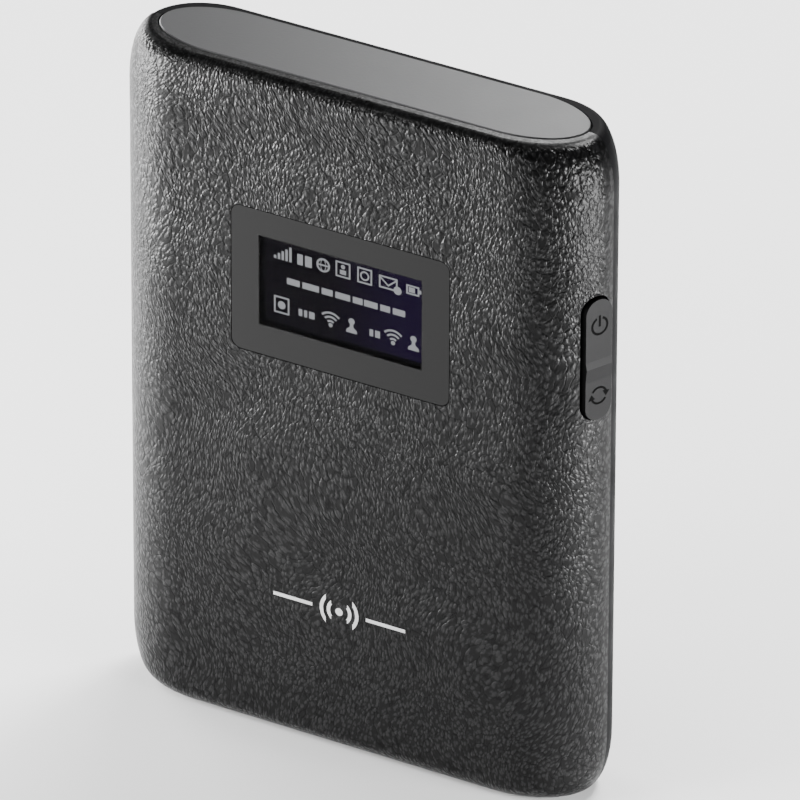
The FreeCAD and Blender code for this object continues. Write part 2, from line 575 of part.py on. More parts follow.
def make_display():
    lens_back = FRONT_FACE + " + window_sink + window_thickness"
    lens = rounded_plate("display_window", "window_width", "window_height", "window_radius",
                         lens_back, "window_thickness")
    keep(lens, "display_window")
    gasket_outer = rounded_plate("gasket_outer", "window_width - 2 * gasket_inset",
                                 "window_height - 2 * gasket_inset", "window_radius",
                                 lens_back + " + gasket_thickness", "gasket_thickness")
    gasket_hole = block("gasket_hole", ("seat_width + 2 * gasket_inset", "2 * margin",
                                        "seat_height + 2 * gasket_inset"),
                        ("-seat_width / 2 - gasket_inset", lens_back + " - margin",
                         "lit_z - seat_height / 2 - gasket_inset"))
    keep(cut("window_gasket_solid", gasket_outer, [gasket_hole]), "window_gasket")
    panel = rounded_plate("display_panel", "panel_width", "panel_height", "panel_radius",
                          "panel_front + panel_thickness", "panel_thickness", "lit_z")
    keep(panel, "display_panel")
    keep(block("display_polariser", ("lit_width + 2 * polariser_border", "polariser_thickness",
                                     "lit_height + 2 * polariser_border"),
               ("-lit_width / 2 - polariser_border", "panel_front - polariser_thickness",
                "lit_z - lit_height / 2 - polariser_border")), "display_polariser")
    frame = block("holder_outer", ("panel_width + 2 * holder_border", "holder_back - panel_front",
                                   "panel_height + 2 * holder_border"),
                  ("-panel_width / 2 - holder_border", "panel_front",
                   "lit_z - panel_height / 2 - holder_border"))
    pocket = block("holder_pocket", ("panel_width + 2 * panel_fit",
                                     "panel_thickness + panel_lip",
                                     "panel_height + 2 * panel_fit"),
                   ("-panel_width / 2 - panel_fit", "panel_front - panel_lip",
                    "lit_z - panel_height / 2 - panel_fit"))
    core = block("holder_core", ("panel_width - 2 * holder_step", "seat_depth",
                                 "panel_height - 2 * holder_step"),
                 ("-panel_width / 2 + holder_step", "panel_front",
                  "lit_z - panel_height / 2 + holder_step"))
    flex_way = block("flex_way", ("flex_width + 2 * polariser_border", "seat_depth",
                                  "flex_slot_height"),
                     ("-flex_width / 2 - polariser_border", "panel_front + panel_thickness / 2",
                      "lit_z - panel_height / 2 - flex_slot_low"))
    keep(cut("display_holder_solid", frame, [pocket, core, flex_way]), "display_holder")
    tail_low = "lit_z - panel_height / 2 - flex_drop + margin"
    tail = block("flex_tail", ("flex_width", "flex_thickness", "flex_drop"),
                 ("-flex_width / 2", "panel_front + panel_thickness", tail_low))
    turn = block("flex_turn", ("flex_width", "flex_turn", "flex_thickness"),
                 ("-flex_width / 2", "panel_front + panel_thickness", tail_low))
    foot = block("flex_foot", ("flex_width", "flex_thickness", "flex_foot"),
                 ("-flex_width / 2",
                  "panel_front + panel_thickness + flex_turn - flex_thickness",
                  tail_low + " + flex_thickness - flex_foot"))
    keep(fuse("display_flex_solid", [tail, turn, foot]), "display_flex")
    keep(block("display_connector",
               ("flex_width + margin", "board_front - panel_front - panel_thickness - flex_turn",
                "connector_height"),
               ("-(flex_width + margin) / 2", "panel_front + panel_thickness + flex_turn",
                tail_low + " + 3 * flex_thickness - connector_height")), "display_connector")


make_display()


# ---------------------------------------------------------------- front emblem

def make_emblem():
    """A plain signal sign: a dot between arcs, with a bar on each side."""
    back = FRONT_FACE
    dot = rod("emblem_centre", "emblem_dot", "emblem_proud",
              ("0", back + " - emblem_proud", "emblem_z"), "y")
    pieces = [dot]
    for step in (0, 1):
        radius = "(emblem_ring + %d * emblem_ring_step)" % step
        outer = rod("emblem_outer_%d" % step, radius + " + emblem_stroke / 2", "emblem_proud",
                    ("0", back + " - emblem_proud", "emblem_z"), "y")
        inner = rod("emblem_inner_%d" % step, radius + " - emblem_stroke / 2", "2 * margin",
                    ("0", back + " - margin", "emblem_z"), "y")
        rise = "(emblem_ring * emblem_opening + %d * emblem_opening_step)" % step
        waist = [block("emblem_waist_%d_%s" % (step, end),
                       (radius + " * 2 * emblem_waist", "2 * margin", "tool_reach"),
                       ("-" + radius + " * emblem_waist", back + " - margin", start))
                 for end, start in (("high", "emblem_z + " + rise),
                                    ("low", "emblem_z - " + rise + " - tool_reach"))]
        middle = block("emblem_middle_%d" % step, (radius, "2 * margin", "2 * tool_reach"),
                       ("-" + radius + " / 2", back + " - margin", "emblem_z - tool_reach"))
        pieces.append(cut("emblem_arcs_%d" % step, outer, [inner, middle] + waist))
    for side, start in (("left", "-emblem_bar_start - emblem_bar_length"),
                        ("right", "emblem_bar_start")):
        pieces.append(block("emblem_bar_" + side,
                            ("emblem_bar_length", "emblem_proud", "emblem_stroke"),
                            (start, back + " - emblem_proud", "emblem_z - emblem_stroke / 2")))
    keep(group("front_emblem_solids", pieces), "front_emblem")


make_emblem()


# ---------------------------------------------------------------- board and its components

def make_board():
    corners = [("-board_half_width", "board_low"), ("board_half_width", "board_low"),
               ("board_half_width", "board_ear_mid"),
               ("board_half_width + board_ear", "board_ear_mid"),
               ("board_half_width + board_ear", "board_ear_high"),
               ("board_half_width", "board_ear_high"), ("board_half_width", "board_high"),
               ("-board_half_width", "board_high"), ("-board_half_width", "board_ear_mid"),
               ("-board_half_width - board_ear", "board_ear_mid"),
               ("-board_half_width - board_ear", "board_ear_low"),
               ("-board_half_width", "board_ear_low")]
    body, _ = padded("board_blank", "XZ_Plane", "-board_front - board_thickness", corners,
                     "board_thickness")
    notch = block("usb_notch", ("usb_depth", "2 * margin", "usb_width + 2 * notch_fit"),
                  ("-usb_mouth_x", "usb_y - margin", "port_z - usb_width / 2 - notch_fit"))
    switch_notches = [block("switch_notch_%d" % i,
                            ("seat_depth", "2 * margin", "switch_size + 2 * notch_fit"),
                            ("switch_x - switch_size + notch_fit", "switch_y - margin",
                             "key_z + %d * switch_spacing - switch_size / 2 - notch_fit"
                             % side))
                      for i, side in enumerate((-1, 1))]
    key_clear = block("key_clear", ("tool_reach", "tool_reach", "2 * margin"),
                      ("key_stop_x - notch_fit", "board_front - board_thickness",
                       "key_z - margin"))
    keep(cut("main_board_solid", body, [notch, key_clear] + switch_notches), "main_board")


def shield(name, x, z, width, height, side, rise):
    """A tin lid over one side of the board."""
    if side == "front":
        near, inner = "board_front - " + rise, "board_front - %s + shield_wall" % rise
    else:
        near, inner = "board_front + board_thickness", "board_front + board_thickness - 1"
    outer = block(name + "_outer", (width, rise, height), (x, near, z))
    hollow = block(name + "_inner", ("%s - 2 * shield_wall" % width,
                                     "%s - shield_wall + 1" % rise
                                     if side == "back" else rise,
                                     "%s - 2 * shield_wall" % height),
                   ("%s + shield_wall" % x, inner, "%s + shield_wall" % z))
    keep(cut(name + "_solid", outer, [hollow]), name)


def chips(name, places, side):
    """Chip packages in one row of places: (x, z, width, height)."""
    near = "board_front - chip_height" if side == "front" else "board_front + board_thickness"
    pieces = [block("%s_%d" % (name, i), (width, "chip_height", height), (x, near, z))
              for i, (x, z, width, height) in enumerate(places)]
    keep(group(name + "_solids", pieces) if len(pieces) > 1 else pieces[0], name)


make_board()
shield("modem_shield", "-29", "34", "30", "19", "front", "front_shield_height")
shield("radio_shield", "4", "34", "24", "19", "front", "front_shield_height")
shield("power_shield", "-12", "42", "30", "22", "back", "rear_shield_height")
chips("modem_chip", [("-24", "37.5", "12", "12")], "front")
chips("memory_chip", [("-9.5", "39", "8", "10")], "front")
chips("wifi_chip", [("8", "38.5", "7", "7")], "front")
chips("power_amplifiers", [("18.5", "36.5", "5", "4"), ("18.5", "42.5", "5", "4"),
                           ("18.5", "48", "5", "3")], "front")
chips("charger_chip", [("0", "49", "5", "5")], "back")


# ---------------------------------------------------------------- charging port

def make_port():
    mouth = "-usb_mouth_x"
    low = "port_z - usb_width / 2"
    high = "port_z + usb_width / 2"
    near = "usb_y - usb_height / 2"
    body, _ = padded("usb_block", "YZ_Plane", mouth,
                       [(near, low), ("usb_y + usb_height / 2 - usb_bevel", low),
                        ("usb_y + usb_height / 2", low + " + usb_bevel"),
                        ("usb_y + usb_height / 2", high + " - usb_bevel"),
                        ("usb_y + usb_height / 2 - usb_bevel", high),
                        (near, high)], "usb_depth")
    hollow = block("usb_hollow", ("usb_depth - usb_end_wall", "usb_height - 2 * usb_wall",
                                  "usb_width - 2 * (usb_wall + usb_jamb)"),
                   (mouth + " - usb_lead", near + " + usb_wall", low + " + usb_wall + usb_jamb"))
    keep(cut("micro_usb_shell_solid", body, [hollow]), "micro_usb_shell")
    tongue = block("usb_tongue", ("usb_depth - tongue_back", "tongue_thickness",
                                  "usb_width - 2 * tongue_inset"),
                   (mouth + " + usb_bevel", "usb_y - usb_bevel", low + " + tongue_inset"))
    keep(tongue, "micro_usb_tongue")


def make_port_cover():
    prism = on_side(stadium("port_cover_prism", "port_length", "port_width",
                            "opening_outer", "opening_outer"), -1,
                    "port_z")
    skin = shape_feature("port_cover_core", case_solid(dim("port_cover_thickness"),
                                                     dim("port_cover_thickness")))
    outside = cut("port_cover_rind", front_outer, [skin])
    cover = doc.addObject("Part::MultiCommon", "port_cover_skin")
    cover.Shapes = [outside, prism]
    plug = on_side(stadium("port_plug", "plug_length", "plug_width",
                           "port_cover_thickness + plug_depth", "-plug_depth"), -1, "port_z")
    keep(fuse("port_cover_solid", [cover, plug]), "port_cover")


make_port()
make_port_cover()


# ---------------------------------------------------------------- side key and switches

def make_key():
    face = stadium("key_face", "key_length", "key_width", "key_inner", "key_proud")
    flange = stadium("key_flange", "key_flange_length", "key_flange_width",
                     "key_inner + key_flange_thickness", "-key_inner")
    ridge, _ = padded("key_ridge_body", "XZ_Plane", "-key_width / 2",
                      [("key_proud - key_ridge_sink", "-key_ridge_fall"),
                       ("key_proud - key_ridge_sink", "key_ridge_start"),
                       ("key_proud + key_ridge", "-key_ridge_peak")], "key_width")
    slab_part = on_side(fuse("key_slab", [face, flange, ridge]), 1, "key_z")
    nibs = [block("key_nib_%d" % i, ("nib_length", "nib_width", "nib_height"),
                  ("switch_x + plunger_reach + plunger_play", "switch_y - nib_width / 2",
                   "key_z + %d * switch_spacing - nib_height / 2" % side))
            for i, side in enumerate((-1, 1))]
    pivot = block("key_pivot", ("pivot_length", "pivot_width", "pivot_height"),
                  ("pivot_x", "switch_y - pivot_width / 2", "key_z - pivot_height / 2"))
    keep(fuse("rocker_key_solid", [slab_part, pivot] + nibs), "rocker_key")


def make_switch(label, side):
    level = "key_z + %d * switch_spacing" % side
    case = block(label + "_case", ("switch_size - notch_fit", "switch_height", "switch_size"),
                 ("switch_x - switch_size + notch_fit", "switch_y - switch_height / 2",
                  level + " - switch_size / 2"))
    hole = block(label + "_hole", ("margin", "plunger_height + 2 * plunger_fit",
                                   "plunger_width + 2 * plunger_fit"),
                 ("switch_x - plunger_hole", "switch_y - plunger_height / 2 - plunger_fit",
                  level + " - plunger_width / 2 - plunger_fit"))
    keep(cut(label + "_solid", case, [hole]), label)
    keep(block(label + "_plunger",
               ("plunger_reach + plunger_root", "plunger_height", "plunger_width"),
               ("switch_x - plunger_root", "switch_y - plunger_height / 2",
                level + " - plunger_width / 2")), label + "_plunger")


make_key()
make_switch("power_switch", 1)
make_switch("sync_switch", -1)


# ---------------------------------------------------------------- battery

def make_battery():
    top = "battery_low + battery_height"
    back = "battery_front + battery_thickness"
    cell, pad = slab("battery_cell", "battery_half_width", "battery_low",
                     top + " - battery_cap_height", back, "battery_thickness")
    keep(rounded(cell, pad, Vector(0, 0, 1), "battery_radius"), "battery_cell")
    head, head_pad = slab("battery_head_blank", "battery_half_width",
                          top + " - battery_cap_height", top, back, "battery_thickness")
    rounded(head, head_pad, Vector(0, 0, 1), "battery_radius")
    pad_y = "battery_front + pad_y"
    recesses = [block("pad_recess_%d" % i, ("pad_width", "pad_height", "pad_depth"),
                      ("%d * pad_pitch - pad_width / 2" % step, pad_y, top + " - pad_depth"))
                for i, step in enumerate((-1, 0, 1))]
    keep(cut("battery_head_solid", head, recesses), "battery_head")
    pads = [block("battery_pad_%d" % i, ("pad_width", "pad_height", "pad_thickness"),
                  ("%d * pad_pitch - pad_width / 2" % step, pad_y, top + " - pad_depth"))
            for i, step in enumerate((-1, 0, 1))]
    keep(group("battery_pads_solids", pads), "battery_pads")
    keep(block("battery_label_sheet",
               ("2 * (battery_half_width - label_margin)", "label_thickness",
                "battery_height - battery_cap_height - 2 * label_margin"),
               ("label_margin - battery_half_width", back, "battery_low + label_margin")),
         "battery_label")


def make_contacts():
    top = "battery_low + battery_height"
    housing = block("contact_block", ("contact_length", "contact_depth", "contact_block_height"),
                    ("-contact_length / 2", "chassis_front + chassis_floor + contact_fit",
                     top + " + contact_lift"))
    slots = [block("contact_slot_%d" % i, ("contact_width + 2 * blade_fit", "slot_depth",
                                           "slot_height"),
                   ("%d * pad_pitch - contact_width / 2 - blade_fit" % step,
                    "battery_front + slot_y", top + " + slot_lift"))
             for i, step in enumerate((-1, 0, 1))]
    keep(cut("contact_housing_solid", housing, slots), "contact_housing")
    blades = [block("contact_blade_%d" % i, ("contact_width", "blade_depth", "blade_height"),
                    ("%d * pad_pitch - contact_width / 2" % step,
                     "battery_front + slot_y + (slot_depth - blade_depth) / 2",
                     top + " + blade_lift"))
              for i, step in enumerate((-1, 0, 1))]
    keep(group("battery_contacts_solids", blades), "battery_contacts")


make_battery()
make_contacts()


# ---------------------------------------------------------------- SIM card and socket

def make_sim():
    corners = [("sim_x", "sim_z"), ("sim_x + sim_length", "sim_z"),
               ("sim_x + sim_length", "sim_z + sim_width - sim_corner"),
               ("sim_x + sim_length - sim_corner", "sim_z + sim_width"),
               ("sim_x", "sim_z + sim_width")]
    card, _ = padded("sim_card", "XZ_Plane", "-sim_y - sim_thickness", corners, "sim_thickness")
    keep(card, "sim_card")
    board_back = "board_front + board_thickness"
    tray = block("sim_tray", ("sim_length - sim_tray_short",
                              "sim_y - board_front - board_thickness",
                              "sim_width + 2 * sim_border"),
                 ("sim_x - sim_border", board_back, "sim_z - sim_border"))
    lid = block("sim_lid", ("sim_length - sim_lid_short",
                            "sim_y + sim_thickness + sim_lid - board_front - board_thickness",
                            "sim_width + 2 * sim_border"),
                ("sim_x - sim_border", board_back, "sim_z - sim_border"))
    way = block("sim_way", ("sim_length + margin", "sim_thickness + 2 * sim_fit",
                            "sim_width + 2 * sim_fit"),
                ("sim_x - sim_fit", "sim_y - sim_fit", "sim_z - sim_fit"))
    thumb = rod("sim_thumb", "sim_thumb_radius", "margin",
                ("sim_x + sim_length - sim_thumb_x", "sim_y + sim_thickness - 2 * sim_fit",
                 "sim_z + sim_width / 2"), "y")
    keep(cut("sim_socket_solid", fuse("sim_housing", [tray, lid]), [way, thumb]), "sim_socket")


make_sim()


# ---------------------------------------------------------------- reset button and switch

def make_reset():
    stem = rod("reset_stem", "reset_radius", "reset_stem_length",
               ("reset_x", "chassis_front - 2 * reset_fit", "reset_z"), "y")
    flange = rod("reset_flange", "reset_flange_radius", "reset_flange_thickness",
                 ("reset_x", "chassis_front - reset_flange_thickness - reset_fit", "reset_z"),
                 "y")
    keep(fuse("reset_button_solid", [stem, flange]), "reset_button")
    base = "board_front + board_thickness"
    case = block("reset_case", ("reset_case_size", "reset_case_height", "reset_case_size"),
                 ("reset_x - reset_case_size / 2", base, "reset_z - reset_case_size / 2"))
    dome = rod("reset_dome", "reset_dome_radius", "reset_dome_height",
               ("reset_x", base + " + reset_case_height", "reset_z"), "y")
    keep(fuse("reset_switch_solid", [case, dome]), "reset_switch")


make_reset()


# ---------------------------------------------------------------- antennas

def make_antennas():
    carrier = block("lower_carrier_block", ("lower_length", "lower_depth", "lower_height"),
                    ("-lower_length / 2", "lower_front", "lower_base"))
    carrier_core = block("lower_carrier_core", ("lower_length - 2 * carrier_wall",
                                                "lower_depth",
                                                "lower_height - 2 * carrier_wall"),
                         ("carrier_wall - lower_length / 2", "lower_front - lower_floor",
                          "lower_base + carrier_wall"))
    keep(cut("lower_antenna_carrier_solid", carrier, [carrier_core]), "lower_antenna_carrier")
    under = "lower_base - antenna_thickness"
    strip = block("lower_antenna_strip", ("lower_strip_length", "lower_strip_width",
                                          "antenna_thickness"),
                  ("-lower_strip_length / 2", "lower_front + lower_strip_y", under))
    leg = block("lower_antenna_leg", ("lower_leg_length", "lower_strip_width",
                                      "antenna_thickness"),
                ("-lower_leg_x", "lower_front + lower_strip_y", under))
    keep(group("lower_antenna_solids", [strip, leg]), "lower_antenna")
    upper = block("upper_carrier_block", ("upper_length", "upper_depth", "upper_height"),
                  ("-upper_length / 2", "upper_front", "upper_base"))
    upper_core = block("upper_carrier_core", ("upper_length - 2 * carrier_wall", "upper_depth",
                                              "upper_height - 2 * upper_floor"),
                       ("carrier_wall - upper_length / 2", "upper_front + upper_web",
                        "upper_base + upper_floor"))
    keep(cut("upper_antenna_carrier_solid", upper, [upper_core]), "upper_antenna_carrier")
    pieces = [block("upper_antenna_%d" % i, ("upper_strip_length", "upper_strip_width",
                                             "antenna_thickness"),
                    (x, "upper_front + upper_strip_y", "upper_base + upper_height"))
              for i, x in enumerate(("-upper_strip_length - upper_strip_x", "upper_strip_x"))]
    keep(group("upper_antenna_solids", pieces), "upper_antenna")
    springs = [block("antenna_spring_%d_%d" % (i, j), ("spring_width", "spring_depth",
                                                       "spring_height"),
                     (x, "board_front - spring_depth", z))
               for i, x in enumerate(("-spring_x - spring_width", "spring_x"))
               for j, z in enumerate(("board_low + spring_end",
                                      "board_high - spring_height - chassis_step"))]
    keep(group("antenna_springs_solids", springs), "antenna_springs")


make_antennas()


# ---------------------------------------------------------------- screws

def make_screw(index, hand, level):
    """A pan-head screw along Y, turned about its axis."""
    body = doc.addObject("PartDesign::Body", "screw_%d" % index)
    sketch = sketch_on(body, "XY_Plane", "0")
    outline(sketch, [("0", "0"), ("screw_head_radius", "0"),
                     ("screw_head_radius", "screw_head_height * screw_edge"),
                     ("screw_head_radius * screw_edge", "screw_head_height"),
                     ("0", "screw_head_height")])
    turned = body.newObject("PartDesign::Revolution", body.Name + "_head")
    turned.Profile = sketch
    turned.ReferenceAxis = (sketch, ["V_Axis"])
    doc.recompute()
    shank = rod("screw_shank_%d" % index, "screw_radius", "screw_length + chassis_floor",
                ("0", "-screw_length - chassis_floor", "0"), "y")
    cross_low = "screw_head_height - 0.6 * cross_depth"
    slots = [block("screw_slot_%d_%d" % (index, i), size, corner)
             for i, (size, corner) in enumerate((
                 (("cross_length", "cross_depth", "cross_width"),
                  ("-cross_length / 2", cross_low, "-cross_width / 2")),
                 (("cross_width", "cross_depth", "cross_length"),
                  ("-cross_width / 2", cross_low, "-cross_length / 2"))))]
    whole = cut("screw_%d_solid" % index, fuse("screw_%d_joined" % index, [body, shank]), slots)
    return place(whole, ("%d * boss_x" % hand, "chassis_front + chassis_floor", level))


keep(group("chassis_screws_solids",
           [make_screw(i, hand, level) for i, (hand, level) in enumerate(BOSS_PLACES)]),
     "chassis_screws")


# ---------------------------------------------------------------- checks and export

doc.recompute()
for item in doc.Objects:
    if "Invalid" in item.State or "Error" in item.State:
        raise RuntimeError("%s failed: %s" % (item.Name, item.State))
labels = [item.Label for item in sub_parts]
if len(set(labels)) != len(labels):
    raise RuntimeError("two sub-parts share a label")
os.makedirs("parts", exist_ok=True)
for item in sub_parts:
    shape = item.Shape
    if shape.isNull() or not shape.isValid() or shape.Volume <= 0 or not shape.Solids:
        raise RuntimeError("%s has no valid solid" % item.Label)
    shape.exportStep("parts/%s.step" % item.Label)
    box = shape.BoundBox
    print("%-24s %2d solid(s) %9.2f mm3  X %7.2f %7.2f  Y %6.2f %6.2f  Z %7.2f %7.2f"
          % (item.Label, len(shape.Solids), shape.Volume, box.XMin, box.XMax,
             box.YMin, box.YMax, box.ZMin, box.ZMax))
print(len(sub_parts), "sub-parts written")
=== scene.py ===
import math

import bpy
from mathutils import Matrix, Vector


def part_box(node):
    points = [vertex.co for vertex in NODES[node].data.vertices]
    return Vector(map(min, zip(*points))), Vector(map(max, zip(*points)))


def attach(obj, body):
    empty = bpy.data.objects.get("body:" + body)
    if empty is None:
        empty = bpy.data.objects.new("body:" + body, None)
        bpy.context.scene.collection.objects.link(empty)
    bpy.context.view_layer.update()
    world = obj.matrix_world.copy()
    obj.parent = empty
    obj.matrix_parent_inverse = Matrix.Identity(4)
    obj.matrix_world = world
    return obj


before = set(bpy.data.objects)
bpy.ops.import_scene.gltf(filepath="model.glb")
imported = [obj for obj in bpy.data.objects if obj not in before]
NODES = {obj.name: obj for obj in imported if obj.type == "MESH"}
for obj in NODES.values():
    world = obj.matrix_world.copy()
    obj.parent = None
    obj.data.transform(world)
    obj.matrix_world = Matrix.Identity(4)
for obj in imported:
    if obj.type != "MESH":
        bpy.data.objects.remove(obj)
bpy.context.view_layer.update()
MM = 0.001


# ---------------------------------------------------------------- node helpers

class Graph:
    """A short way to build a material's node tree."""

    def __init__(self, name, color, rough, metallic=0.0):
        self.material = bpy.data.materials.new(name)
        self.material.use_nodes = True
        self.tree = self.material.node_tree
        self.shader = self.tree.nodes["Principled BSDF"]
        self.put(self.shader, "Base Color", (*color, 1.0))
        self.put(self.shader, "Roughness", rough)
        self.put(self.shader, "Metallic", metallic)

    def put(self, node, socket, value):
        """Set an input to a value, or link a socket into it."""
        target = node.inputs[socket]
        if isinstance(value, bpy.types.NodeSocket):
            self.tree.links.new(value, target)
        else:
            target.default_value = value

    def make(self, kind, settings, inputs):
        """Add a node, with its settings and its inputs."""
        item = self.tree.nodes.new(kind)
        for key, value in settings.items():
            setattr(item, key, value)
        for key, value in inputs.items():
            self.put(item, key, value)
        return item

    def position(self):
        return self.make("ShaderNodeTexCoord", {}, {}).outputs["Object"]

    def normal(self):
        return self.make("ShaderNodeTexCoord", {}, {}).outputs["Normal"]

    def split(self, vector):
        return self.make("ShaderNodeSeparateXYZ", {}, {0: vector}).outputs

    def scaled(self, vector, scale):
        return self.make("ShaderNodeMapping", {}, {"Vector": vector, "Scale": scale}).outputs[0]

    def noise(self, vector, scale, detail, rough=0.5):
        return self.make("ShaderNodeTexNoise", {}, {
            "Vector": vector, "Scale": scale, "Detail": detail, "Roughness": rough}).outputs["Fac"]

    def noise_color(self, vector, scale, detail):
        return self.make("ShaderNodeTexNoise", {}, {
            "Vector": vector, "Scale": scale, "Detail": detail}).outputs["Color"]

    def voronoi(self, vector, scale, feature):
        return self.make("ShaderNodeTexVoronoi", {"feature": feature}, {
            "Vector": vector, "Scale": scale}).outputs["Distance"]

    def math(self, operation, a, b=0.5):
        return self.make("ShaderNodeMath", {"operation": operation}, {0: a, 1: b}).outputs[0]

    def vector(self, operation, a, b):
        item = self.make("ShaderNodeVectorMath", {"operation": operation}, {0: a, 1: b})
        return item.outputs["Value" if operation == "DOT_PRODUCT" else "Vector"]

    def ramp(self, value, low, high, to_low=0.0, to_high=1.0, smooth=True):
        """Map a value from low..high to to_low..to_high, held beyond the ends."""
        item = self.make("ShaderNodeMapRange",
                         {"clamp": True,
                          "interpolation_type": "SMOOTHSTEP" if smooth else "LINEAR"},
                         {"Value": value, "From Min": low, "From Max": high,
                          "To Min": to_low, "To Max": to_high})
        return item.outputs[0]

    def mix(self, factor, a, b):
        """Blend two colours; 6 and 7 are the mix node's colour inputs and 2 its colour output."""
        item = self.make("ShaderNodeMix", {"data_type": "RGBA"}, {})
        self.put(item, 0, factor)
        self.put(item, 6, a if isinstance(a, bpy.types.NodeSocket) else (*a, 1.0))
        self.put(item, 7, b if isinstance(b, bpy.types.NodeSocket) else (*b, 1.0))
        return item.outputs[2]

    def bump(self, height, strength, distance):
        item = self.make("ShaderNodeBump", {}, {
            "Height": height, "Strength": strength, "Distance": distance})
        self.put(self.shader, "Normal", item.outputs[0])

    def give(self, *nodes):
        """Put the material on the named CAD nodes."""
        for name in nodes:
            mesh = NODES[name].data
            mesh.materials.clear()
            mesh.materials.append(self.material)


# ---------------------------------------------------------------- materials

GRAIN_DEPTH = 0.085 * MM
HALF = (0.5, 0.5, 0.5)


def grained_shell():
    """Moulded leather grain: fine pebbles drawn out along slowly turning lines, and creases."""
    g = Graph("grained_shell", (0.004, 0.004, 0.0042), 0.34)
    p = g.position()
    y, z = g.split(p)[1:3]
    drift = g.vector("MULTIPLY", g.vector("SUBTRACT", g.noise_color(p, 45, 1), HALF),
                     (0.016, 0.010, 0.010))
    warp = g.vector("MULTIPLY", g.vector("SUBTRACT", g.noise_color(p, 900, 2), HALF),
                    (0.0007, 0.0007, 0.0007))
    q = g.vector("ADD", g.vector("ADD", p, drift), warp)
    pebbles = g.voronoi(g.scaled(q, (1.0, 0.8, 0.55)), 2100, "F1")
    pebbles = g.ramp(pebbles, 0.0, 0.75, 1.0, 0.0)
    creases = g.voronoi(g.scaled(q, (1.0, 0.8, 0.42)), 800, "DISTANCE_TO_EDGE")
    creases = g.ramp(creases, 0.0, 0.10)
    swell = g.noise(g.scaled(q, (1.0, 0.8, 0.5)), 1100, 3, 0.6)
    relief = g.math("ADD", g.math("MULTIPLY", pebbles, 1.10), g.math("MULTIPLY", creases, 0.45))
    relief = g.math("ADD", relief, g.math("MULTIPLY", swell, 0.35))
    # the grain fades out at the seam and at the rim round the cap
    keep = g.math("MULTIPLY", g.ramp(y, 0.0006, -0.0022), g.ramp(z, 0.1049, 0.1043))
    # and it gets shallower towards the lower end
    depth = g.ramp(z, 0.015, 0.095, 0.65, 1.0)
    relief = g.math("MULTIPLY", g.math("MULTIPLY", relief, keep), depth)
    g.bump(relief, 1.0, GRAIN_DEPTH)
    g.put(g.shader, "Roughness", g.ramp(swell, 0.2, 0.8, 0.26, 0.38))
    # the valleys between the pebbles hold no sheen
    g.put(g.shader, "Specular IOR Level",
          g.math("MULTIPLY", g.ramp(pebbles, 0.15, 0.60, 0.17, 0.29),
                 g.ramp(creases, 0.0, 0.8, 0.70, 1.0)))
    # painted shade: the valleys between the pebbles get a darker base colour than the pebble tops
    g.put(g.shader, "Base Color",
          g.mix(pebbles, (0.0015, 0.0015, 0.0016), (0.007, 0.007, 0.0074)))
    g.give("front_shell")


def plain(name, color, rough, nodes, metallic=0.0, scale=900, depth=0.00002, spread=0.06,
          level=0.5):
    """A moulded or coated finish: fine bump and a little variation of sheen."""
    g = Graph(name, color, rough, metallic)
    p = g.position()
    fine = g.noise(p, scale, 4, 0.6)
    broad = g.noise(p, scale / 12, 3, 0.5)
    g.put(g.shader, "Roughness", g.ramp(broad, 0.3, 0.7, rough - spread, rough + spread))
    g.put(g.shader, "Specular IOR Level", level)
    dark = tuple(c * 0.9 for c in color)
    light = tuple(min(c * 1.1, 1.0) for c in color)
    g.put(g.shader, "Base Color", g.mix(broad, dark, light))
    g.bump(fine, 0.5, depth)
    g.give(*nodes)


grained_shell()
plain("satin_case", (0.004, 0.004, 0.0045), 0.55, ["back_cover"], scale=2400, level=0.04)
plain("cap_finish", (0.030, 0.030, 0.032), 0.42, ["top_cap"], scale=2400, spread=0.01)
plain("chassis", (0.035, 0.035, 0.038), 0.55,
      ["rear_chassis", "display_holder", "lower_antenna_carrier", "upper_antenna_carrier"])
plain("foam", (0.01, 0.01, 0.01), 0.9, ["window_gasket"])
plain("panel", (0.008, 0.008, 0.012), 0.2, ["display_panel", "display_polariser"])
plain("amber", (0.45, 0.20, 0.04), 0.3, ["display_flex"])
plain("chip", (0.02, 0.02, 0.02), 0.5,
      ["display_connector", "modem_chip", "memory_chip", "wifi_chip", "power_amplifiers",
       "charger_chip", "micro_usb_tongue", "power_switch_plunger", "sync_switch_plunger",
       "battery_head", "contact_housing"])
plain("bright", (0.8, 0.8, 0.8), 0.25, ["front_emblem", "chassis_screws"], metallic=1.0)
plain("tin", (0.65, 0.65, 0.63), 0.35,
      ["modem_shield", "radio_shield", "power_shield", "micro_usb_shell", "power_switch",
       "sync_switch", "sim_socket", "reset_switch"], metallic=1.0)
plain("soft_rubber", (0.02, 0.02, 0.02), 0.65, ["port_cover"])
plain("key", (0.10, 0.10, 0.11), 0.45, ["reset_button"], scale=2400)
plain("battery_wrap", (0.05, 0.05, 0.06), 0.35, ["battery_cell"])
plain("gold", (0.85, 0.60, 0.25), 0.25, ["battery_pads", "battery_contacts", "antenna_springs"],
      metallic=1.0)
plain("card", (0.8, 0.8, 0.8), 0.35, ["sim_card"])
plain("copper", (0.75, 0.42, 0.25), 0.3, ["lower_antenna", "upper_antenna"], metallic=1.0)


# ---------------------------------------------------------------- flat signs

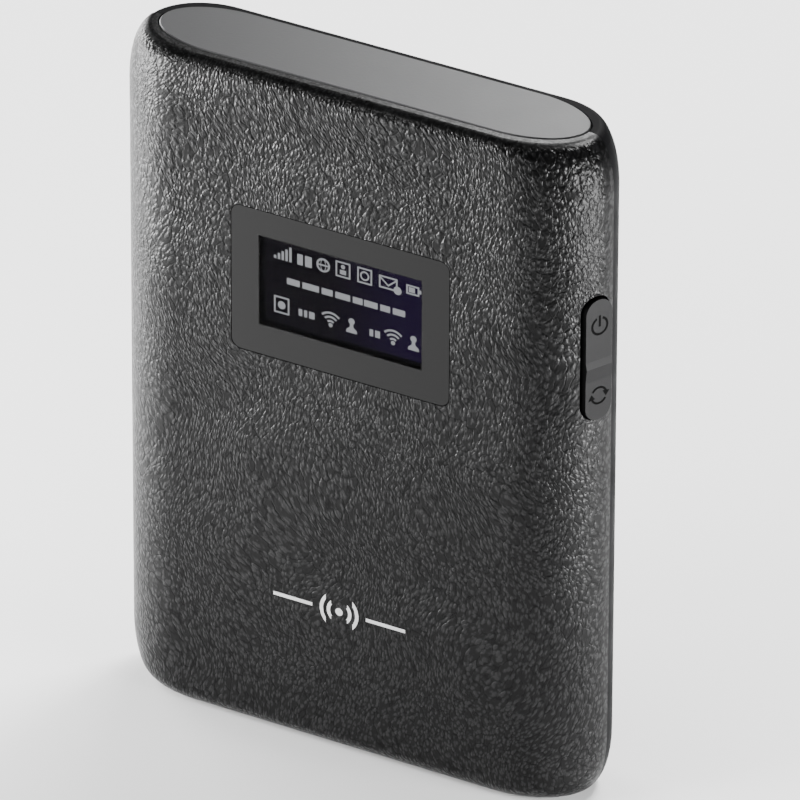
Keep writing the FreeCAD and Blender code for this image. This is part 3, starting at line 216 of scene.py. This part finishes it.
class Plate:
    """Collects thin flat shapes drawn in millimetres (u right, v up) and makes one mesh."""

    def __init__(self):
        self.points = []
        self.faces = []

    def polygon(self, outline):
        start = len(self.points)
        self.points += outline
        self.faces.append(tuple(range(start, start + len(outline))))

    def bar(self, u, v, width, height):
        self.polygon([(u, v), (u + width, v), (u + width, v + height), (u, v + height)])

    def arc(self, u, v, radius, stroke, start=0.0, end=360.0, stretch=1.0):
        """A band along a circle, between two angles counted from +u."""
        steps = max(6, int(abs(end - start) / 9))
        inner, outer = radius - stroke / 2, radius + stroke / 2
        first = len(self.points)
        for i in range(steps + 1):
            angle = math.radians(start + (end - start) * i / steps)
            for reach in (inner, outer):
                self.points.append((u + reach * math.cos(angle) * stretch,
                                    v + reach * math.sin(angle)))
        for i in range(steps):
            a = first + 2 * i
            self.faces.append((a, a + 1, a + 3, a + 2))

    def disc(self, u, v, radius):
        steps = 30
        angles = [2 * math.pi * i / steps for i in range(steps + 1)]
        self.polygon([(u + radius * math.cos(t), v + radius * math.sin(t)) for t in angles])

    def frame(self, u, v, width, height, stroke):
        self.bar(u, v, width, stroke)
        self.bar(u, v + height - stroke, width, stroke)
        self.bar(u, v + stroke, stroke, height - 2 * stroke)
        self.bar(u + width - stroke, v + stroke, stroke, height - 2 * stroke)

    def signal(self, u, v):
        """Bars of rising height."""
        for i in range(5):
            self.bar(u + i * 0.62, v, 0.40, 0.5 + 0.45 * i)

    def radio(self, u, v, size):
        """A dot under three arcs."""
        self.disc(u, v, 0.32 * size)
        for i in range(1, 4):
            self.arc(u, v, 0.62 * i * size, 0.30 * size, 45, 135)

    def person(self, u, v, size):
        """A head over shoulders."""
        self.disc(u, v + 1.75 * size, 0.48 * size)
        self.polygon([(u + a * size, v + b * size) for a, b in (
            (-0.85, 0.0), (0.85, 0.0), (0.80, 0.45), (0.30, 0.85), (0.24, 1.35), (-0.24, 1.35),
            (-0.30, 0.85), (-0.80, 0.45))])

    def words(self, u, v, height, lengths, gap):
        """Plain blocks in place of words."""
        for length in lengths:
            self.bar(u, v, length, height)
            u += length + gap

    def build(self, name, matrix, thickness=0.0):
        """Make the mesh: u, v and the outward normal are the matrix's x, y and z axes."""
        mesh = bpy.data.meshes.new(name)
        mesh.from_pydata([(u * MM, v * MM, 0.0) for u, v in self.points], [], self.faces)
        shape = bpy.data.objects.new(name, mesh)
        bpy.context.scene.collection.objects.link(shape)
        if thickness:
            solid = shape.modifiers.new("thickness", "SOLIDIFY")
            solid.thickness = thickness * MM
            solid.offset = 1.0
        mesh.transform(matrix)
        mesh.update()
        return shape


def facing(origin, right, up):
    """A matrix whose x, y and z axes are right, up and their normal, at a point."""
    right, up = Vector(right).normalized(), Vector(up).normalized()
    turn = Matrix((right, up, right.cross(up))).transposed()
    return Matrix.Translation(origin) @ turn.to_4x4()


# the lit area of the display is its polariser without a dark border
SCREEN_LOW, SCREEN_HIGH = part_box("display_polariser")
SCREEN_BORDER = 0.5
LIT_WIDTH, LIT_HEIGHT = 25.6, 13.6
SIGN_GAP = 0.03
GLOW_GAP = 0.01
GRID_PER_METRE = 7000


def screen_signs():
    """The lit signs, and behind them the dim glow of the display."""
    corner = Vector((SCREEN_LOW.x + SCREEN_BORDER * MM, SCREEN_LOW.y - SIGN_GAP * MM,
                     SCREEN_LOW.z + SCREEN_BORDER * MM))
    g = Graph("screen_light", (0.0, 0.0, 0.0), 0.4)
    g.put(g.shader, "Specular IOR Level", 0.0)
    # fine dark lines between the display's dots, across and up
    lines = [g.ramp(g.math("FRACT", g.math("MULTIPLY", g.split(g.position())[axis],
                                           GRID_PER_METRE)), 0.0, 0.25, 0.75, 1.0)
             for axis in (0, 2)]
    grid = g.math("MULTIPLY", *lines)
    g.put(g.shader, "Emission Color", (0.80, 0.82, 0.86, 1.0))
    g.put(g.shader, "Emission Strength", g.math("MULTIPLY", grid, 0.55))
    plate = Plate()
    # top row: signal, two blocks, globe, framed person, framed ring, envelope, battery
    row = 10.1
    plate.signal(1.3, row)
    plate.words(5.1, row, 1.7, [0.9, 1.1], 0.35)
    plate.arc(9.3, row + 1.0, 0.95, 0.30)
    plate.arc(9.3, row + 1.0, 0.95, 0.22, stretch=0.42)
    plate.bar(8.4, row + 0.88, 1.8, 0.24)
    plate.frame(11.3, row - 0.1, 2.4, 2.5, 0.26)
    plate.disc(12.5, row + 1.6, 0.34)
    plate.bar(12.0, row + 0.4, 1.0, 0.7)
    plate.frame(14.8, row - 0.1, 2.4, 2.5, 0.26)
    plate.arc(16.0, row + 1.15, 0.62, 0.26)
    plate.frame(18.3, row + 0.1, 3.0, 2.0, 0.26)
    plate.polygon([(18.4, row + 2.0), (19.8, row + 0.85), (21.2, row + 2.0), (21.2, row + 1.7),
                   (19.8, row + 0.55), (18.4, row + 1.7)])
    plate.disc(21.3, row + 0.3, 0.65)
    plate.frame(22.7, row + 0.3, 2.1, 1.5, 0.26)
    plate.bar(23.1, row + 0.65, 1.0, 0.8)
    plate.bar(24.8, row + 0.75, 0.35, 0.6)
    # middle row: a name as plain blocks
    plate.words(3.4, 6.5, 1.0, [2.1, 2.7, 1.8, 2.4, 1.6], 0.42)
    plate.words(15.9, 6.5, 1.0, [2.2, 1.6, 2.0], 0.42)
    # low row: a framed dot, then blocks, a radio sign and a person, twice
    low_row = 1.5
    plate.frame(1.3, low_row, 2.5, 2.7, 0.26)
    plate.disc(2.55, low_row + 1.35, 0.62)
    plate.words(5.3, low_row + 0.5, 1.1, [0.6, 0.5, 0.9], 0.3)
    plate.radio(10.5, low_row + 0.4, 1.05)
    plate.person(13.9, low_row + 0.1, 1.05)
    plate.words(16.8, low_row + 0.5, 1.1, [0.6, 0.8], 0.3)
    plate.radio(20.6, low_row + 0.4, 1.05)
    plate.person(23.9, low_row + 0.1, 1.05)
    signs = plate.build("screen_signs", facing(corner, (1, 0, 0), (0, 0, 1)))
    signs.data.materials.append(g.material)
    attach(signs, "case")

    glow = Plate()
    glow.bar(0.0, 0.0, LIT_WIDTH, LIT_HEIGHT)
    glow_corner = corner + Vector((0, (SIGN_GAP - GLOW_GAP) * MM, 0))
    back = glow.build("screen_glow", facing(glow_corner, (1, 0, 0), (0, 0, 1)))
    dim_light = Graph("screen_dim", (0.0, 0.0, 0.0), 0.35)
    dim_light.put(dim_light.shader, "Specular IOR Level", 0.0)
    share = dim_light.ramp(dim_light.split(dim_light.position())[0], -0.004, 0.012)
    dim_light.put(dim_light.shader, "Emission Color",
                  dim_light.mix(share, (0.0045, 0.0035, 0.006), (0.010, 0.004, 0.026)))
    dim_light.put(dim_light.shader, "Emission Strength", 1.0)
    back.data.materials.append(dim_light.material)
    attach(back, "case")


# the key sits at a point of the case's rounded side and faces out at a slant
KEY_TILT = math.radians(24.5)
KEY_OUT = Vector((math.cos(KEY_TILT), -math.sin(KEY_TILT), 0))
KEY_ALONG = Vector((math.sin(KEY_TILT), math.cos(KEY_TILT), 0))
SIDE_X, SIDE_Y = 37.69, -2.42
KEY_PROUD = 0.6
INK_GAP = 0.01
SIGN_U = 0.1
POWER_V, SYNC_V, SYNC_RADIUS = 5.35, -5.65, 1.25


def key_signs():
    """A power sign on the upper half and two turning arrows on the lower half."""
    low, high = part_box("rocker_key")
    middle = (low.z + high.z) / 2
    out = KEY_OUT * (KEY_PROUD + INK_GAP) * MM
    face = Vector((SIDE_X * MM, SIDE_Y * MM, middle)) + out
    ink = Graph("key_ink", (0.001, 0.001, 0.001), 0.5)
    ink.put(ink.shader, "Specular IOR Level", 0.02)
    ink.bump(ink.noise(ink.position(), 3000, 2), 0.2, 0.00001)
    plate = Plate()
    plate.arc(SIGN_U, POWER_V, 1.28, 0.36, 112, 428)
    plate.bar(SIGN_U - 0.18, POWER_V - 0.10, 0.36, 1.75)
    for turn, side in ((0, 1), (180, -1)):
        plate.arc(SIGN_U, SYNC_V, SYNC_RADIUS, 0.34, turn + 20, turn + 150)
        tip = math.radians(turn + 10)
        tip_u = SIGN_U + SYNC_RADIUS * math.cos(tip)
        tip_v = SYNC_V + SYNC_RADIUS * math.sin(tip)
        plate.polygon([(tip_u - 0.62, tip_v + side * 0.35), (tip_u + 0.58, tip_v + side * 0.20),
                       (tip_u - 0.06, tip_v - side * 0.62)][::side])
    signs = plate.build("key_signs", facing(face, KEY_ALONG, (0, 0, 1)), 0.012)
    signs.data.materials.append(ink.material)
    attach(signs, "rocker_key")


def board_finish():
    """Green solder mask with fine copper tracks under it and rows of small tinned pads."""
    g = Graph("board_finish", (0.01, 0.07, 0.04), 0.35)
    p = g.position()
    x, _, z = g.split(p)[:3]
    bend = g.math("MULTIPLY", g.noise(p, 90, 1), 0.004)
    lines = g.math("FRACT", g.math("MULTIPLY", g.math("ADD", z, bend), 1400))
    tracks = g.math("MULTIPLY", g.ramp(lines, 0.30, 0.36), g.ramp(g.noise(p, 160, 1), 0.50, 0.54))
    column = g.math("LESS_THAN", g.math("FRACT", g.math("MULTIPLY", x, 420)), 0.30)
    line = g.math("LESS_THAN", g.math("FRACT", g.math("MULTIPLY", z, 260)), 0.30)
    patch = g.math("GREATER_THAN", g.noise(p, 60, 1), 0.58)
    pads = g.math("MULTIPLY", g.math("MULTIPLY", column, line), patch)
    green = g.mix(tracks, (0.006, 0.05, 0.028), (0.012, 0.10, 0.05))
    g.put(g.shader, "Base Color", g.mix(pads, green, (0.55, 0.55, 0.52)))
    g.put(g.shader, "Metallic", pads)
    g.bump(g.math("ADD", tracks, pads), 0.3, 0.00003)
    g.give("main_board")


def label_finish():
    """A matt battery sticker with a dark band and rows of plain blocks instead of print."""
    low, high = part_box("battery_label")
    g = Graph("label_finish", (0.7, 0.7, 0.68), 0.55)
    p = g.position()
    x, _, z = g.split(p)[:3]
    step = g.math("MULTIPLY", g.math("SUBTRACT", z, low.z), 330)
    row = g.math("FLOOR", step)
    inside = g.math("LESS_THAN", g.math("ABSOLUTE", g.math("SUBTRACT", g.math("FRACT", step), 0.5)),
                    0.20)
    length = g.noise(g.make("ShaderNodeCombineXYZ", {}, {"X": row}).outputs[0], 0.37, 0)
    end = g.ramp(length, 0.3, 0.7, -0.005, high.x - 0.006, smooth=False)
    margin = g.math("GREATER_THAN", x, low.x + 0.004)
    start = g.math("LESS_THAN", x, end)
    rows = g.math("MULTIPLY", g.math("MULTIPLY", inside, g.math("MULTIPLY", start, margin)),
                  g.math("LESS_THAN", z, low.z + 0.030))
    band = g.math("GREATER_THAN", z, high.z - 0.012)
    ink = g.math("MAXIMUM", g.math("MULTIPLY", rows, 0.75), band)
    g.put(g.shader, "Base Color", g.mix(ink, (0.55, 0.55, 0.53), (0.02, 0.03, 0.05)))
    g.bump(g.noise(p, 2500, 2), 0.2, 0.00001)
    g.give("battery_label")


def key_finish_and_painted_shade():
    """Satin grey on the pressed face; the walls down into the slot get a near-black base colour,
    painted shade.
    """
    g = Graph("key_finish_and_painted_shade", (0.07, 0.07, 0.07), 0.42)
    p = g.position()
    facing_out = g.vector("DOT_PRODUCT", g.normal(), tuple(KEY_OUT))
    face = g.ramp(facing_out, 0.80, 0.92)
    fine = g.noise(p, 5200, 3, 0.6)
    tone = g.mix(fine, (0.006, 0.006, 0.0063), (0.010, 0.010, 0.0104))
    # painted shade: faces turned away from the key's outward direction (the walls into the slot)
    # get near-black colour and less sheen
    g.put(g.shader, "Base Color", g.mix(face, (0.002, 0.002, 0.002), tone))
    g.put(g.shader, "Specular IOR Level", g.ramp(face, 0.0, 1.0, 0.05, 0.09))
    g.bump(fine, 0.35, 0.00002)
    g.give("rocker_key")


CLEAR_HALF_WIDTH, CLEAR_HALF_HEIGHT, INK_EDGE = 13.0, 6.9, 0.3
CLEARNESS = 0.92


def window_finish():
    """Glossy lens: clear over the lit area, black ink behind the rest."""
    g = Graph("window_finish", (0.001, 0.001, 0.001), 0.04)
    p = g.position()
    x, _, z = g.split(p)[:3]
    middle = (SCREEN_LOW.z + SCREEN_HIGH.z) / 2
    across = g.ramp(g.math("ABSOLUTE", x), CLEAR_HALF_WIDTH * MM,
                    (CLEAR_HALF_WIDTH + INK_EDGE) * MM, 1.0, 0.0, smooth=False)
    above = g.ramp(g.math("ABSOLUTE", g.math("SUBTRACT", z, middle)), CLEAR_HALF_HEIGHT * MM,
                   (CLEAR_HALF_HEIGHT + INK_EDGE) * MM, 1.0, 0.0, smooth=False)
    clear = g.math("MULTIPLY", across, above)
    g.put(g.shader, "Specular IOR Level", 0.25)
    g.bump(g.noise(p, 200, 2), 0.03, 0.00001)
    output = g.tree.nodes["Material Output"]
    see_through = g.make("ShaderNodeBsdfTransparent", {}, {})
    blend = g.make("ShaderNodeMixShader", {}, {})
    g.put(blend, 0, g.math("MULTIPLY", clear, CLEARNESS))
    g.tree.links.new(g.shader.outputs[0], blend.inputs[1])
    g.tree.links.new(see_through.outputs[0], blend.inputs[2])
    g.tree.links.new(blend.outputs[0], output.inputs["Surface"])
    g.give("display_window")


screen_signs()
key_signs()
key_finish_and_painted_shade()
board_finish()
label_finish()
window_finish()


# ---------------------------------------------------------------- stage, lights and camera

def add_floor():
    """A plain pale floor, eight metres square."""
    mesh = bpy.data.meshes.new("floor")
    half = 4.0
    mesh.from_pydata([(-half, -half, 0), (half, -half, 0), (half, half, 0), (-half, half, 0)],
                     [], [(0, 1, 2, 3)])
    floor = bpy.data.objects.new("floor", mesh)
    bpy.context.scene.collection.objects.link(floor)
    g = Graph("floor_white", (0.97, 0.97, 0.97), 0.9)
    g.bump(g.noise(g.position(), 40, 3), 0.02, 0.0005)
    mesh.materials.append(g.material)


def area_light(name, location, target, size, power, size_y=None):
    """A soft light aimed at a target; sizes in metres, power in watts."""
    data = bpy.data.lights.new(name, "AREA")
    data.shape = "RECTANGLE"
    data.size = size
    data.size_y = size_y or size
    data.energy = power
    light = bpy.data.objects.new(name, data)
    bpy.context.scene.collection.objects.link(light)
    light.location = location
    direction = Vector(target) - Vector(location)
    light.rotation_euler = direction.to_track_quat("-Z", "Y").to_euler()
    return light


# a long lens at the photo's angle, in degrees turned, raised and rolled. It aims at a point
# that lies right of and above the foot of the case's seam, along the picture's own axes.
CAMERA_ANGLES = (30.17, 29.38, 0.21)
CAMERA_DISTANCE = 1.7916
CAMERA_LENS = 564.7
SEAM_Y = 0.8
AIM_RIGHT, AIM_UP = 3.99, 46.07


def add_camera():
    """A camera turned to the right, raised and rolled by CAMERA_ANGLES."""
    azimuth, elevation, roll = (math.radians(v) for v in CAMERA_ANGLES)
    right = Vector((math.cos(azimuth), math.sin(azimuth), 0))
    back = Vector((math.sin(azimuth) * math.cos(elevation),
                   -math.cos(azimuth) * math.cos(elevation), math.sin(elevation)))
    up = back.cross(right)
    turned_right = math.cos(roll) * right + math.sin(roll) * up
    turned_up = -math.sin(roll) * right + math.cos(roll) * up
    aim = (Vector((0, SEAM_Y * MM, 0)) + AIM_RIGHT * MM * turned_right
           + AIM_UP * MM * turned_up)
    data = bpy.data.cameras.new("camera")
    data.lens = CAMERA_LENS
    data.sensor_width = 36.0
    data.clip_start = 0.05
    data.clip_end = 50.0
    camera = bpy.data.objects.new("camera", data)
    bpy.context.scene.collection.objects.link(camera)
    turn = Matrix((turned_right, turned_up, back)).transposed()
    camera.matrix_world = Matrix.Translation(aim + CAMERA_DISTANCE * back) @ turn.to_4x4()
    bpy.context.scene.camera = camera


def add_world(strength):
    """A faint, even white light from all round."""
    world = bpy.data.worlds.new("studio")
    bpy.context.scene.world = world
    world.use_nodes = True
    background = world.node_tree.nodes["Background"]
    background.inputs["Color"].default_value = (1, 1, 1, 1)
    background.inputs["Strength"].default_value = strength


add_floor()
add_world(0.05)
TARGET = (0, 0, 0.06)
area_light("front_left", (-0.20, -0.22, 0.13), TARGET, 0.14, 0.5, size_y=0.08)
area_light("front_low", (-0.16, -0.22, 0.04), (-0.02, -0.01, 0.10), 0.10, 0.2, size_y=0.06)
area_light("left_back", (-0.42, 0.16, 0.12), TARGET, 0.25, 2.7, size_y=0.22)
area_light("left_card", (-0.21, -0.06, 0.05), (-0.03, -0.007, 0.08), 0.10, 1.1, size_y=0.08)
area_light("right_card", (0.20, -0.02, 0.045), (0.037, 0, 0.06), 0.10, 0.85, size_y=0.08)
area_light("upper_left", (-0.22, -0.24, 0.47), (0, 0, 0.10), 0.15, 0.75)
area_light("rear", (-0.08, 0.38, 0.32), (0, 0, 0.105), 0.22, 1.5, size_y=0.15)
floor_wash = area_light("floor_wash", (0.15, 0.55, 0.9), (0.02, 0.22, 0), 0.3, 1.6)
floor_wash.data.spread = math.radians(50)
add_camera()
